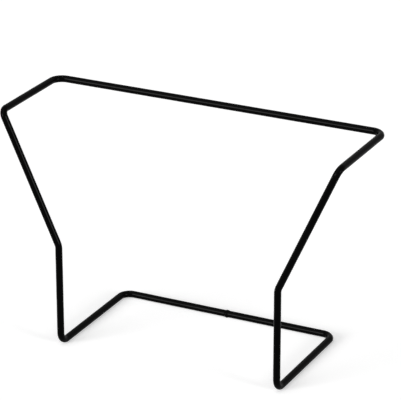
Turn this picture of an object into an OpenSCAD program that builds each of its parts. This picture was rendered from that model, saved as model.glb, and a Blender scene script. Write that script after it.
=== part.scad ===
// Free-standing wire stand with an open front, which holds flat things on edge.
// One round steel wire runs in a closed ring: back rail, side arms, splayed flares,
// front legs, base runners and a bar across the back of the base, where one butt weld
// closes it. The ring is drawn as its straights and its bends, which meet face to face.
// X is across the stand, +Y is the back, +Z is up. The floor is z = 0.

/* [Wire] */
// Diameter of the wire, with its coating
wire_d = 4.2; // [3:0.1:5]
// Bend radius of the feet, on the wire's centre line
foot_r = 6.5; // [4:0.5:12]
// Bend radius of the knees, on the wire's centre line
knee_r = 7; // [4:0.5:30]
// Bend radius of the shoulders, on the wire's centre line
shoulder_r = 4; // [3:0.5:8]
// Bend radius of the rear rail's corners, on the wire's centre line
corner_r = 7; // [4:0.5:15]
// Bend radius of the base's back corners, on the wire's centre line
base_corner_r = 6.5; // [4:0.5:15]

/* [Front] */
// Distance between the front legs, between wire centres
leg_spacing = 140; // [90:1:170]
// Height of the knee bend above the floor
knee_height = 64; // [40:1:90]
// Distance between the side arms, between wire centres
arm_spacing = 211; // [186:1:240]
// Overall height, to the top of the side arms
stand_height = 144; // [115:1:165]

/* [Depth] */
// Length of the side arms, from the flares' centre to the rail's centre
arm_length = 64; // [40:1:90]
// Length of the base runners, from the legs' centre to the base bar's centre
runner_length = 80; // [60:1:110]

/* [Butt weld] */
// How far the weld stands out from the wire all round
weld_rise = 0.35; // [0.2:0.05:0.8]
// Width of the weld along the wire
weld_width = 2.4; // [1.5:0.1:4]

/* [Hidden] */

LEFT = -1;
RIGHT = 1;
COAT_BLACK = [0.05, 0.05, 0.055];
$fn = 48;

// Heights of the wire's centre line on the floor and at the side arms
floor_z = wire_d / 2;
arm_z = stand_height - wire_d / 2;

// The base is centred on the origin, so the legs stand in front of it
front_y = -runner_length / 2;
base_back_y = front_y + runner_length;
rail_y = front_y + arm_length;

// Where the centre lines of two neighbouring straights cross, on one side of the stand
function base_corner_at(side) = [side * leg_spacing / 2, base_back_y, floor_z];
function foot_at(side) = [side * leg_spacing / 2, front_y, floor_z];
function knee_at(side) = [side * leg_spacing / 2, front_y, knee_height];
function shoulder_at(side) = [side * arm_spacing / 2, front_y, arm_z];
function rear_corner_at(side) = [side * arm_spacing / 2, rail_y, arm_z];
function weld_face_at(side) = [side * weld_width / 2, base_back_y, floor_z];

function unit(v) = v / norm(v);
function towards(from, to) = unit(to - from);

// Half of the angle between the two straights that leave a corner
function half_angle(before, corner, after) =
    acos(towards(corner, before) * towards(corner, after)) / 2;

// Length that a bend takes from each of its two straights
function setback(before, corner, after, r) = r / tan(half_angle(before, corner, after));

// The point where the bend at a corner meets the straight that goes to neighbour
function bend_end(neighbour, corner, other, r) =
    corner + towards(corner, neighbour) * setback(neighbour, corner, other, r);

// A straight length of wire between two points
module straight(from, to) {
    v = to - from;
    color(COAT_BLACK)
        translate(from)
            rotate([0, acos(v.z / norm(v)), atan2(v.y, v.x)])
                cylinder(h = norm(v), d = wire_d);
}

// A bent length of wire, round the corner between two straights
module bend(before, corner, after, r) {
    half = half_angle(before, corner, after);
    inwards = unit(towards(corner, before) + towards(corner, after));
    centre = corner + inwards * r / sin(half);
    start = unit(bend_end(before, corner, after, r) - centre);
    travel = towards(before, corner);
    axis = cross(start, travel);
    color(COAT_BLACK)
        multmatrix([
            [start.x, travel.x, axis.x, centre.x],
            [start.y, travel.y, axis.y, centre.y],
            [start.z, travel.z, axis.z, centre.z],
            [0, 0, 0, 1]
        ])
            rotate_extrude(angle = 180 - 2 * half)
                translate([r, 0]) circle(d = wire_d);
}

// --- Bends -------------------------------------------------------------------------

module rear_corner(side) {
    bend(rear_corner_at(-side), rear_corner_at(side), shoulder_at(side), corner_r);
}

module shoulder(side) {
    bend(rear_corner_at(side), shoulder_at(side), knee_at(side), shoulder_r);
}

module knee(side) {
    bend(shoulder_at(side), knee_at(side), foot_at(side), knee_r);
}

module foot(side) {
    bend(knee_at(side), foot_at(side), base_corner_at(side), foot_r);
}

module base_corner(side) {
    bend(foot_at(side), base_corner_at(side), base_corner_at(-side), base_corner_r);
}

// --- Straights ---------------------------------------------------------------------

module rear_rail() {
    straight(
        bend_end(rear_corner_at(RIGHT), rear_corner_at(LEFT), shoulder_at(LEFT), corner_r),
        bend_end(rear_corner_at(LEFT), rear_corner_at(RIGHT), shoulder_at(RIGHT), corner_r)
    );
}

module arm(side) {
    straight(
        bend_end(shoulder_at(side), rear_corner_at(side), rear_corner_at(-side), corner_r),
        bend_end(rear_corner_at(side), shoulder_at(side), knee_at(side), shoulder_r)
    );
}

module flare(side) {
    straight(
        bend_end(knee_at(side), shoulder_at(side), rear_corner_at(side), shoulder_r),
        bend_end(shoulder_at(side), knee_at(side), foot_at(side), knee_r)
    );
}

module leg(side) {
    straight(
        bend_end(foot_at(side), knee_at(side), shoulder_at(side), knee_r),
        bend_end(knee_at(side), foot_at(side), base_corner_at(side), foot_r)
    );
}

module runner(side) {
    straight(
        bend_end(base_corner_at(side), foot_at(side), knee_at(side), foot_r),
        bend_end(foot_at(side), base_corner_at(side), base_corner_at(-side), base_corner_r)
    );
}

module base_bar(side) {
    straight(
        bend_end(base_corner_at(-side), base_corner_at(side), foot_at(side), base_corner_r),
        weld_face_at(side)
    );
}

// --- Weld --------------------------------------------------------------------------

// A low barrel between the two ends of the wire, ground flush with the floor
module butt_weld() {
    barrel_r = wire_d / 2 + weld_rise;
    color(COAT_BLACK)
        intersection() {
            translate(weld_face_at(LEFT))
                rotate([0, 90, 0])
                    rotate_extrude() weld_profile();
            translate([-weld_width, base_back_y - 2 * barrel_r, 0])
                cube([2 * weld_width, 4 * barrel_r, 4 * barrel_r]);
        }
}

// Half section of the weld, from the wire's centre line out: an arc over a plain disc
module weld_profile() {
    arc_r = (pow(weld_width / 2, 2) + pow(weld_rise, 2)) / (2 * weld_rise);
    intersection() {
        square([wire_d / 2 + weld_rise, weld_width]);
        union() {
            square([wire_d / 2, weld_width]);
            translate([wire_d / 2 + weld_rise - arc_r, weld_width / 2]) circle(arc_r);
        }
    }
}

// --- The stand ---------------------------------------------------------------------

rear_rail();
rear_corner(LEFT);  // left_rear_corner
rear_corner(RIGHT);  // right_rear_corner
arm(LEFT);  // left_arm
arm(RIGHT);  // right_arm
shoulder(LEFT);  // left_shoulder
shoulder(RIGHT);  // right_shoulder
flare(LEFT);  // left_flare
flare(RIGHT);  // right_flare
knee(LEFT);  // left_knee
knee(RIGHT);  // right_knee
leg(LEFT);  // left_leg
leg(RIGHT);  // right_leg
foot(LEFT);  // left_foot
foot(RIGHT);  // right_foot
runner(LEFT);  // left_runner
runner(RIGHT);  // right_runner
base_corner(LEFT);  // left_base_corner
base_corner(RIGHT);  // right_base_corner
base_bar(LEFT);  // left_base_bar
base_bar(RIGHT);  // right_base_bar
butt_weld();
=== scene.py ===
import math

import bmesh
import bpy
from mathutils import Matrix, Vector, noise


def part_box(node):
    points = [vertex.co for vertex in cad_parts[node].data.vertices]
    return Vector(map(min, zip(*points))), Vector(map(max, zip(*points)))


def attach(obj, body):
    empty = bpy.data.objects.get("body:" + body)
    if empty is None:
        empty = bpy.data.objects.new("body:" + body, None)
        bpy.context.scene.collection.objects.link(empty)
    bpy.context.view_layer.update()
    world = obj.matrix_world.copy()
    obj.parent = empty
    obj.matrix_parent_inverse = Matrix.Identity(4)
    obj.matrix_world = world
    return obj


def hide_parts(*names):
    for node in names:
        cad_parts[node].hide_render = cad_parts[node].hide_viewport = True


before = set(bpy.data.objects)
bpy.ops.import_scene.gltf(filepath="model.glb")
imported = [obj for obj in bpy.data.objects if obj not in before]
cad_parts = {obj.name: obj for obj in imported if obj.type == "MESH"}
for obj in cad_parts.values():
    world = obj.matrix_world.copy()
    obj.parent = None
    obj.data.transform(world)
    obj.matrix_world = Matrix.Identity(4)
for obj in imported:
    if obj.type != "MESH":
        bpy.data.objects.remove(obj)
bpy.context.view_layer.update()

# --- Rear rail -------------------------------------------------------------------------
# The straight across the back, at the height of the side arms. The whole stand is one
# round mild steel wire: cut to length, bent cold, butt welded into a ring under the back,
# and powder coated black. The rail is the middle of its length.
MM = 0.001
X, Y, Z = range(3)
WIRE_SIDES = 48
RING_SPACING = 1.5 * MM
# The coat is up to this much thinner in patches of this size
THIN_COAT = 0.03 * MM
THIN_COAT_PATCH = 8 * MM
# A noise seldom leaves the stretch between these two
NOISE_LOW, NOISE_HIGH = 0.3, 0.7


def add(tree, kind, inputs=None, **settings):
    """Adds a node. Each of its inputs takes a plain value or another node's output."""
    made = tree.nodes.new(kind)
    for name, value in settings.items():
        setattr(made, name, value)
    for name, value in (inputs or {}).items():
        if isinstance(value, bpy.types.NodeSocket):
            tree.links.new(value, made.inputs[name])
        else:
            made.inputs[name].default_value = value
    return made


def group_sockets(tree, kind, sockets):
    """Gives a node group its named inputs or outputs, and returns their identifiers."""
    return {
        name: tree.interface.new_socket(name, in_out=kind, socket_type=socket_type).identifier
        for name, socket_type in sockets.items()
    }


# Round wire swept along a path. Each point of the path has a pinch, which points out of its
# bend and is 0 to 1 long. The longer it is, the flatter is the outer half of the wire there.
# The coat lies unevenly thick on the wire, from its full thickness down to the depth given.
sweep = bpy.data.node_groups.new("swept_wire", "GeometryNodeTree")
sweep_inputs = group_sockets(sweep, "INPUT", {
    "Path": "NodeSocketGeometry",
    "Wire Diameter": "NodeSocketFloat",
    "Sides": "NodeSocketInt",
    "Outer Flattening": "NodeSocketFloat",
    "Thin Coat Depth": "NodeSocketFloat",
    "Thin Coat Size": "NodeSocketFloat",
    "Coat": "NodeSocketMaterial",
})
group_sockets(sweep, "OUTPUT", {"Wire": "NodeSocketGeometry"})
given = add(sweep, "NodeGroupInput").outputs
path = add(sweep, "GeometryNodeMeshToCurve", {"Mesh": given["Path"]})
centre_line = add(sweep, "GeometryNodeCaptureAttribute", {"Geometry": path.outputs[0]})
centre_line.capture_items.new("VECTOR", "Centre")
sweep.links.new(add(sweep, "GeometryNodeInputPosition").outputs[0], centre_line.inputs["Centre"])
radius = add(sweep, "ShaderNodeMath", {0: given["Wire Diameter"], 1: 0.5}, operation="MULTIPLY")
section = add(sweep, "GeometryNodeCurvePrimitiveCircle", {
    "Resolution": given["Sides"],
    "Radius": radius.outputs[0],
})
tube = add(sweep, "GeometryNodeCurveToMesh", {
    "Curve": centre_line.outputs["Geometry"],
    "Profile Curve": section.outputs["Curve"],
    "Fill Caps": True,
})
position = add(sweep, "GeometryNodeInputPosition").outputs[0]
pinch = add(sweep, "GeometryNodeInputNamedAttribute", {"Name": "pinch"}, data_type="FLOAT_VECTOR")
spoke = add(sweep, "ShaderNodeVectorMath", {0: position, 1: centre_line.outputs["Centre"]},
            operation="SUBTRACT")
reach = add(sweep, "ShaderNodeVectorMath", {0: spoke.outputs[0], 1: pinch.outputs[0]},
            operation="DOT_PRODUCT")
outer = add(sweep, "ShaderNodeMath", {0: reach.outputs["Value"], 1: 0.0}, operation="MAXIMUM")
flat = add(sweep, "ShaderNodeMath", {0: outer.outputs[0], 1: given["Outer Flattening"]},
           operation="MULTIPLY")
flattened = add(sweep, "ShaderNodeVectorMath", {0: pinch.outputs[0], "Scale": flat.outputs[0]},
                operation="SCALE")
coat_scale = add(sweep, "ShaderNodeMath", {0: 1.0, 1: given["Thin Coat Size"]},
                 operation="DIVIDE")
cover = add(sweep, "ShaderNodeTexNoise", {"Scale": coat_scale.outputs[0], "Detail": 0.0})
depth = add(sweep, "ShaderNodeMapRange", {
    "Value": cover.outputs["Fac"],
    "From Min": NOISE_LOW,
    "From Max": NOISE_HIGH,
    "To Min": given["Thin Coat Depth"],
    "To Max": 0.0,
})
outwards = add(sweep, "ShaderNodeVectorMath", {0: spoke.outputs[0]}, operation="NORMALIZE")
thin = add(sweep, "ShaderNodeVectorMath", {0: outwards.outputs[0], "Scale": depth.outputs[0]},
           operation="SCALE")
missing = add(sweep, "ShaderNodeVectorMath", {0: flattened.outputs[0], 1: thin.outputs[0]},
              operation="ADD")
surface = add(sweep, "ShaderNodeVectorMath", {0: position, 1: missing.outputs[0]},
              operation="SUBTRACT")
drawn_in = add(sweep, "GeometryNodeSetPosition", {
    "Geometry": tube.outputs["Mesh"],
    "Position": surface.outputs[0],
})
real = add(sweep, "GeometryNodeRealizeInstances", {"Geometry": drawn_in.outputs[0]})
coated = add(sweep, "GeometryNodeSetMaterial", {
    "Geometry": real.outputs[0],
    "Material": given["Coat"],
})
add(sweep, "NodeGroupOutput", {"Wire": coated.outputs[0]})

# Powder coat: a soft orange peel from the melted powder, a finer grain in it, and patches
# where the cured coat is a little glossier. Where the wire rubs, it polishes.
coat = bpy.data.node_groups.new("powder_coat", "ShaderNodeTree")
group_sockets(coat, "INPUT", {
    "Colour": "NodeSocketColor",
    "Rubbed Colour": "NodeSocketColor",
    "Rubbed": "NodeSocketFloat",
    "Peel Size": "NodeSocketFloat",
    "Grain Size": "NodeSocketFloat",
    "Patch Size": "NodeSocketFloat",
    "Dull Roughness": "NodeSocketFloat",
    "Glossy Roughness": "NodeSocketFloat",
})
group_sockets(coat, "OUTPUT", {
    "Colour": "NodeSocketColor",
    "Roughness": "NodeSocketFloat",
    "Height": "NodeSocketFloat",
})
given = add(coat, "NodeGroupInput").outputs
place = add(coat, "ShaderNodeTexCoord").outputs["Object"]
noises = {}
for name, detail in (("Peel Size", 1.0), ("Grain Size", 2.0), ("Patch Size", 3.0)):
    scale = add(coat, "ShaderNodeMath", {0: 1.0, 1: given[name]}, operation="DIVIDE")
    noises[name] = add(coat, "ShaderNodeTexNoise", {
        "Vector": place,
        "Scale": scale.outputs[0],
        "Detail": detail,
    }).outputs["Fac"]
PEEL_SHARE = 0.95
SPECKLE_DARK, SPECKLE_LIGHT = 0.75, 1.25
# The sockets of a Mix node, which has one pair for numbers and one for colours
SHARE, NUMBER_A, NUMBER_B, COLOUR_A, COLOUR_B, COLOUR_OUT = 0, 2, 3, 6, 7, 2
height = add(coat, "ShaderNodeMix", {
    SHARE: PEEL_SHARE,
    NUMBER_A: noises["Grain Size"],
    NUMBER_B: noises["Peel Size"],
})
gloss = add(coat, "ShaderNodeMapRange", {
    "Value": noises["Patch Size"],
    "From Min": NOISE_LOW,
    "From Max": NOISE_HIGH,
    "To Min": given["Dull Roughness"],
    "To Max": given["Glossy Roughness"],
})
polished = add(coat, "ShaderNodeMix", {
    SHARE: given["Rubbed"],
    NUMBER_A: gloss.outputs[0],
    NUMBER_B: given["Glossy Roughness"],
})
speckle = add(coat, "ShaderNodeMapRange", {
    "Value": noises["Grain Size"],
    "From Min": NOISE_LOW,
    "From Max": NOISE_HIGH,
    "To Min": SPECKLE_DARK,
    "To Max": SPECKLE_LIGHT,
})
tone = add(coat, "ShaderNodeVectorMath", {0: given["Colour"], "Scale": speckle.outputs[0]},
           operation="SCALE")
worn = add(coat, "ShaderNodeMix", {
    SHARE: given["Rubbed"],
    COLOUR_A: tone.outputs[0],
    COLOUR_B: given["Rubbed Colour"],
}, data_type="RGBA")
add(coat, "NodeGroupOutput", {
    "Colour": worn.outputs[COLOUR_OUT],
    "Roughness": polished.outputs[0],
    "Height": height.outputs[0],
})

# The wire's own coat: black pigment under a thin glossy skin of the powder's binder. It
# rubs along the line that stands on the floor.
COAT_BLACK = (0.0003, 0.0003, 0.0003, 1.0)
COAT_RUBBED = (0.0030, 0.0030, 0.0030, 1.0)
COAT_PEEL = 1.1 * MM
COAT_GRAIN = 0.25 * MM
COAT_PATCH = 7 * MM
COAT_RELIEF = 0.06 * MM
COAT_DULL = 0.22
COAT_GLOSSY = 0.16
COAT_SPECULAR = 0.014
SKIN_WEIGHT = 0.024
SKIN_ROUGHNESS = 0.16
RUB_HEIGHT = 0.10 * MM

wire_coat = bpy.data.materials.new("black_wire_coat")
wire_coat.use_nodes = True
tree = wire_coat.node_tree
shader = tree.nodes["Principled BSDF"]
shader.inputs["Specular IOR Level"].default_value = COAT_SPECULAR
shader.inputs["Coat Weight"].default_value = SKIN_WEIGHT
shader.inputs["Coat Roughness"].default_value = SKIN_ROUGHNESS
place = add(tree, "ShaderNodeTexCoord").outputs["Object"]
level = add(tree, "ShaderNodeSeparateXYZ", {0: place}).outputs["Z"]
rub = add(tree, "ShaderNodeMapRange", {
    "Value": level,
    "From Min": 0.0,
    "From Max": RUB_HEIGHT,
    "To Min": 1.0,
    "To Max": 0.0,
})
powder = add(tree, "ShaderNodeGroup", {
    "Colour": COAT_BLACK,
    "Rubbed Colour": COAT_RUBBED,
    "Rubbed": rub.outputs[0],
    "Peel Size": COAT_PEEL,
    "Grain Size": COAT_GRAIN,
    "Patch Size": COAT_PATCH,
    "Dull Roughness": COAT_DULL,
    "Glossy Roughness": COAT_GLOSSY,
}, node_tree=coat).outputs
bump = add(tree, "ShaderNodeBump", {"Height": powder["Height"], "Distance": COAT_RELIEF})
tree.links.new(powder["Colour"], shader.inputs["Base Color"])
tree.links.new(powder["Roughness"], shader.inputs["Roughness"])
tree.links.new(bump.outputs[0], shader.inputs["Normal"])


def straight_ends(node, axis):
    """Both ends of the centre line of a straight that lies along an axis, the low end first."""
    low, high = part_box(node)
    near = (low + high) / 2
    far = near.copy()
    near[axis] = low[axis]
    far[axis] = high[axis]
    return near, far


rail_low, rail_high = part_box("rear_rail")
WIRE_D = rail_high.z - rail_low.z


def make_wire(node, points, pinches=None, flattening=0.0):
    """Sweeps the wire along points, and puts the piece in the place of a node."""
    line = bpy.data.meshes.new(node + "_path")
    line.from_pydata(points, [(i, i + 1) for i in range(len(points) - 1)], [])
    attribute = line.attributes.new("pinch", "FLOAT_VECTOR", "POINT")
    for item, value in zip(attribute.data, pinches or [Vector()] * len(points)):
        item.vector = value
    piece = bpy.data.objects.new(node + "_wire", line)
    bpy.context.collection.objects.link(piece)
    modifier = piece.modifiers.new("swept_wire", "NODES")
    modifier.node_group = sweep
    modifier[sweep_inputs["Wire Diameter"]] = WIRE_D
    modifier[sweep_inputs["Sides"]] = WIRE_SIDES
    modifier[sweep_inputs["Outer Flattening"]] = flattening
    modifier[sweep_inputs["Thin Coat Depth"]] = THIN_COAT
    modifier[sweep_inputs["Thin Coat Size"]] = THIN_COAT_PATCH
    modifier[sweep_inputs["Coat"]] = wire_coat
    evaluated = piece.evaluated_get(bpy.context.evaluated_depsgraph_get())
    piece.data = bpy.data.meshes.new_from_object(evaluated)
    piece.modifiers.remove(modifier)
    bpy.data.meshes.remove(line)
    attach(piece, "root")
    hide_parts(node)


def make_straight(node, ends):
    """Lays the wire straight from one end to the other, in rings close enough for its coat."""
    start, end = ends
    steps = math.ceil((end - start).length / RING_SPACING)
    make_wire(node, [start.lerp(end, step / steps) for step in range(steps + 1)])


rail_ends = straight_ends("rear_rail", X)
make_straight("rear_rail", rail_ends)

# --- Rear corners ----------------------------------------------------------------------
# The bends from the rear rail to the side arms. Each is a quarter turn in the level,
# made cold round a pin, which leaves the outer side of the wire a little flatter.
SIDES = ("left", "right")
BEND_STEPS = 28
EASY_FLATTENING = 0.04


def make_bend(node, start, corner, end, flattening):
    """Bends the wire from start to end. The two straights' lines cross at corner."""
    before = (corner - start).normalized()
    after = (end - corner).normalized()
    turn = before.angle(after)
    radius = (corner - start).length / math.tan(turn / 2)
    inward = (after - before * before.dot(after)).normalized()
    centre = start + inward * radius
    points = []
    pinches = []
    for step in range(BEND_STEPS + 1):
        share = step / BEND_STEPS
        # The rings stand closer at both ends, where the shading runs on into the straights
        angle = turn * share * share * (3 - 2 * share)
        outward = before * math.sin(angle) - inward * math.cos(angle)
        points.append(centre + outward * radius)
        pinches.append(outward * math.sin(math.pi * share))
    make_wire(node, points, pinches, flattening)


for side, rail_end in zip(SIDES, rail_ends):
    arm_back = straight_ends(side + "_arm", Y)[1]
    corner = Vector((arm_back.x, rail_end.y, rail_end.z))
    make_bend(side + "_rear_corner", rail_end, corner, arm_back, EASY_FLATTENING)

# --- Side arms -------------------------------------------------------------------------
# The level straights at both sides, from the rear corners to the shoulders: the same
# coated wire, left straight. They stop what the stand holds from leaning out to the sides.
for side in SIDES:
    make_straight(side + "_arm", straight_ends(side + "_arm", Y))

# --- Shoulders -------------------------------------------------------------------------
# The tightest bends, a quarter turn from a side arm down into its flare. The wire goes
# round a pin thinner than itself, so its outer side is drawn flatter than elsewhere.
TIGHT_FLATTENING = 0.08


def flare_ends(side):
    """The flare's top and bottom, each with the corner of the bend that it runs into."""
    arm_front = straight_ends(side + "_arm", Y)[0]
    leg_top = straight_ends(side + "_leg", Z)[1]
    shoulder = Vector((arm_front.x, leg_top.y, arm_front.z))
    low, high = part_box(side + "_flare")
    lean = ((low + high) / 2 - shoulder).normalized()
    knee = shoulder + lean * (leg_top.x - shoulder.x) / lean.x
    top = shoulder + lean * (shoulder - arm_front).length
    bottom = knee - lean * (knee - leg_top).length
    return (top, shoulder), (bottom, knee)


for side in SIDES:
    arm_front = straight_ends(side + "_arm", Y)[0]
    flare_top, corner = flare_ends(side)[0]
    make_bend(side + "_shoulder", arm_front, corner, flare_top, TIGHT_FLATTENING)

# --- Flares ----------------------------------------------------------------------------
# The straights in the front plane that lean out from the knees to the shoulders, and
# widen the bay towards the top. They are plain wire, held by the bends at both ends.
for side in SIDES:
    make_straight(side + "_flare", [end for end, corner in flare_ends(side)])

# --- Knees -----------------------------------------------------------------------------
# The shallow bends from the leaning flares to the upright legs. The wire is bent here by
# only about a quarter of a right angle, in the front plane.
for side in SIDES:
    leg_top = straight_ends(side + "_leg", Z)[1]
    flare_bottom, corner = flare_ends(side)[1]
    make_bend(side + "_knee", flare_bottom, corner, leg_top, EASY_FLATTENING)

# --- Front legs ------------------------------------------------------------------------
# The upright straights at the front, of plain wire between a knee and a foot. They keep
# what stands on the runners from sliding forwards.
for side in SIDES:
    make_straight(side + "_leg", straight_ends(side + "_leg", Z)[::-1])

# --- Feet ------------------------------------------------------------------------------
# Quarter turns from the legs back into the base, on which the front of the stand rests.
# They are bare bends of the coated wire, with no pad or cap under them.
for side in SIDES:
    leg_bottom = straight_ends(side + "_leg", Z)[0]
    runner_front = straight_ends(side + "_runner", Y)[0]
    corner = Vector((leg_bottom.x, leg_bottom.y, runner_front.z))
    make_bend(side + "_foot", leg_bottom, corner, runner_front, EASY_FLATTENING)

# --- Base runners ----------------------------------------------------------------------
# The straights that lie on the floor from front to back, of plain wire. What the stand
# holds stands across both of them.
for side in SIDES:
    make_straight(side + "_runner", straight_ends(side + "_runner", Y))

# --- Base corners ----------------------------------------------------------------------
# Quarter turns on the floor, from the runners to the bar across the back of the base,
# bent cold to the same radius as the feet.
outer_bar_ends = straight_ends("left_base_bar", X)[0], straight_ends("right_base_bar", X)[1]
for side, bar_end in zip(SIDES, outer_bar_ends):
    runner_back = straight_ends(side + "_runner", Y)[1]
    corner = Vector((runner_back.x, bar_end.y, runner_back.z))
    make_bend(side + "_base_corner", runner_back, corner, bar_end, EASY_FLATTENING)

# --- Base bars -------------------------------------------------------------------------
# The two ends of the wire. They come in along the floor from the base corners, and meet
# in the middle of the back, where they are welded.
for side in SIDES:
    make_straight(side + "_base_bar", straight_ends(side + "_base_bar", X))

# --- Butt weld -------------------------------------------------------------------------
# The wire's two ends, pressed together and welded. The upset metal is left as a low,
# slightly uneven barrel, ground flush with the floor underneath, and coated with the rest.
WELD_RINGS = 17
WELD_HOLLOW = 0.05 * MM
WELD_HOLLOW_SIZE = 0.7 * MM
# Where the noise is above this level, the bead keeps its full swell
WELD_HOLLOW_LEVEL = 0.4
WELD_COAT_PEEL = 0.8 * MM

weld_coat = wire_coat.copy()
weld_coat.name = "black_weld_coat"
for weld_node in weld_coat.node_tree.nodes:
    if weld_node.type == "GROUP":
        weld_node.inputs["Peel Size"].default_value = WELD_COAT_PEEL

weld_low, weld_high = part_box("butt_weld")
wire_axis = straight_ends("left_base_bar", X)[1]
barrel_rise = weld_high.z - wire_axis.z - WIRE_D / 2
mesh = bmesh.new()
rings = []
for step in range(WELD_RINGS):
    share = step / (WELD_RINGS - 1)
    x = weld_low.x + (weld_high.x - weld_low.x) * share
    swell = barrel_rise * 4 * share * (1 - share)
    ring = []
    for i in range(WIRE_SIDES):
        angle = math.tau * i / WIRE_SIDES
        around = Vector((0, math.cos(angle), math.sin(angle)))
        lump = noise.noise((Vector((x, 0, 0)) + around * WIRE_D / 2) / WELD_HOLLOW_SIZE)
        hollow = min(0, lump - WELD_HOLLOW_LEVEL) * WELD_HOLLOW * swell / barrel_rise
        spot = Vector((x, wire_axis.y, wire_axis.z)) + around * (WIRE_D / 2 + swell + hollow)
        spot.z = max(spot.z, weld_low.z)
        ring.append(mesh.verts.new(spot))
    rings.append(ring)
for ring, following in zip(rings, rings[1:]):
    for i in range(WIRE_SIDES):
        j = (i + 1) % WIRE_SIDES
        mesh.faces.new((ring[i], ring[j], following[j], following[i])).smooth = True
mesh.faces.new(rings[0][::-1])
mesh.faces.new(rings[-1])
bmesh.ops.recalc_face_normals(mesh, faces=mesh.faces)
weld_mesh = bpy.data.meshes.new("butt_weld_bead")
mesh.to_mesh(weld_mesh)
mesh.free()
weld_mesh.materials.append(weld_coat)
weld = bpy.data.objects.new("butt_weld_bead", weld_mesh)
bpy.context.collection.objects.link(weld)
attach(weld, "root")
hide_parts("butt_weld")

# --- Floor -----------------------------------------------------------------------------
# A wide plain pale floor. It shows white to the camera and in reflections, apart from the
# stand's own shadow.
FLOOR_HALF = 20.0
FLOOR_WHITE = 0.80
FLOOR_ROUGHNESS = 1.0
# What the eye sees on top of the lit floor, which makes it white
FLOOR_LIFT = 0.43


def seen_by_eye(tree):
    """1 for a ray from the camera or off a glossy or clear surface, 0 for scattered light."""
    rays = add(tree, "ShaderNodeLightPath").outputs
    either = add(tree, "ShaderNodeMath", {0: rays["Is Camera Ray"], 1: rays["Is Glossy Ray"]},
                 operation="MAXIMUM")
    return add(tree, "ShaderNodeMath", {0: either.outputs[0], 1: rays["Is Transmission Ray"]},
               operation="MAXIMUM").outputs[0]


floor_mesh = bpy.data.meshes.new("studio_floor")
floor_corners = [(-1, -1), (1, -1), (1, 1), (-1, 1)]
floor_points = [(x * FLOOR_HALF, y * FLOOR_HALF, 0) for x, y in floor_corners]
floor_mesh.from_pydata(floor_points, [], [(0, 1, 2, 3)])
floor = bpy.data.objects.new("studio_floor", floor_mesh)
bpy.context.collection.objects.link(floor)
floor_paint = bpy.data.materials.new("pale_floor")
floor_paint.use_nodes = True
tree = floor_paint.node_tree
shader = tree.nodes["Principled BSDF"]
shader.inputs["Base Color"].default_value = (FLOOR_WHITE, FLOOR_WHITE, FLOOR_WHITE, 1)
shader.inputs["Roughness"].default_value = FLOOR_ROUGHNESS
shader.inputs["Emission Color"].default_value = (1, 1, 1, 1)
lift = add(tree, "ShaderNodeMath", {0: seen_by_eye(tree), 1: FLOOR_LIFT}, operation="MULTIPLY")
tree.links.new(lift.outputs[0], shader.inputs["Emission Strength"])
floor_mesh.materials.append(floor_paint)

# --- Studio light ----------------------------------------------------------------------
# A white room with three soft lights. A low one at the left of the front glints on the
# bends, a low one at the right draws the streak along the leaning wires, and one from above
# gives the shadow on the floor.
ROOM_AS_LIGHT = 0.15
ROOM_AS_SEEN = 1.0

world = bpy.data.worlds.new("studio_room")
bpy.context.scene.world = world
world.use_nodes = True
tree = world.node_tree
tree.nodes.clear()
room = add(tree, "ShaderNodeMapRange", {
    "Value": seen_by_eye(tree),
    "To Min": ROOM_AS_LIGHT,
    "To Max": ROOM_AS_SEEN,
})
sky = add(tree, "ShaderNodeBackground", {"Color": (1, 1, 1, 1), "Strength": room.outputs[0]})
add(tree, "ShaderNodeOutputWorld", {"Surface": sky.outputs[0]})


def direction(azimuth, elevation):
    """The way from the stand to a light or the camera. Azimuth 0 is the front, 90 the right."""
    a, e = math.radians(azimuth), math.radians(elevation)
    return Vector((math.sin(a) * math.cos(e), -math.cos(a) * math.cos(e), math.sin(e)))


def soft_light(name, azimuth, elevation, spread, strength):
    """A far soft light that looks spread degrees wide and lights the whole floor evenly."""
    lamp = bpy.data.lights.new(name, "SUN")
    lamp.angle = math.radians(spread)
    lamp.energy = strength
    light = bpy.data.objects.new(name, lamp)
    bpy.context.collection.objects.link(light)
    away = direction(azimuth, elevation)
    light.matrix_world = (
        Matrix.Translation(away)
        @ away.to_track_quat("Z", "Y").to_matrix().to_4x4()
    )


soft_light("key_light", azimuth=-28, elevation=16, spread=26, strength=2.7)
soft_light("side_light", azimuth=75, elevation=14, spread=18, strength=1.6)
soft_light("top_light", azimuth=-20, elevation=62, spread=50, strength=0.8)

# --- Camera ----------------------------------------------------------------------------
# A long lens, above the stand and to the right of its front, at the photograph's viewing
# angle. The lens is given for a picture as wide as the sensor.
CAMERA_AZIMUTH = 26.554
CAMERA_ELEVATION = 22.183
CAMERA_ROLL = -0.045
CAMERA_DISTANCE = 1.4452
CAMERA_AIM = Vector((0.00109, 0.00177, 0.09045))
LENS_MM = 224.36
SENSOR_MM = 36.0

lens = bpy.data.cameras.new("studio_camera")
lens.lens = LENS_MM
lens.sensor_width = SENSOR_MM
lens.sensor_fit = "HORIZONTAL"
camera = bpy.data.objects.new("studio_camera", lens)
bpy.context.collection.objects.link(camera)
back = direction(CAMERA_AZIMUTH, CAMERA_ELEVATION)
camera.matrix_world = (
    Matrix.Translation(CAMERA_AIM + back * CAMERA_DISTANCE)
    @ back.to_track_quat("Z", "Y").to_matrix().to_4x4()
    @ Matrix.Rotation(math.radians(CAMERA_ROLL), 4, "Z")
)
bpy.context.scene.camera = camera
bpy.context.scene.view_settings.view_transform = "Standard"
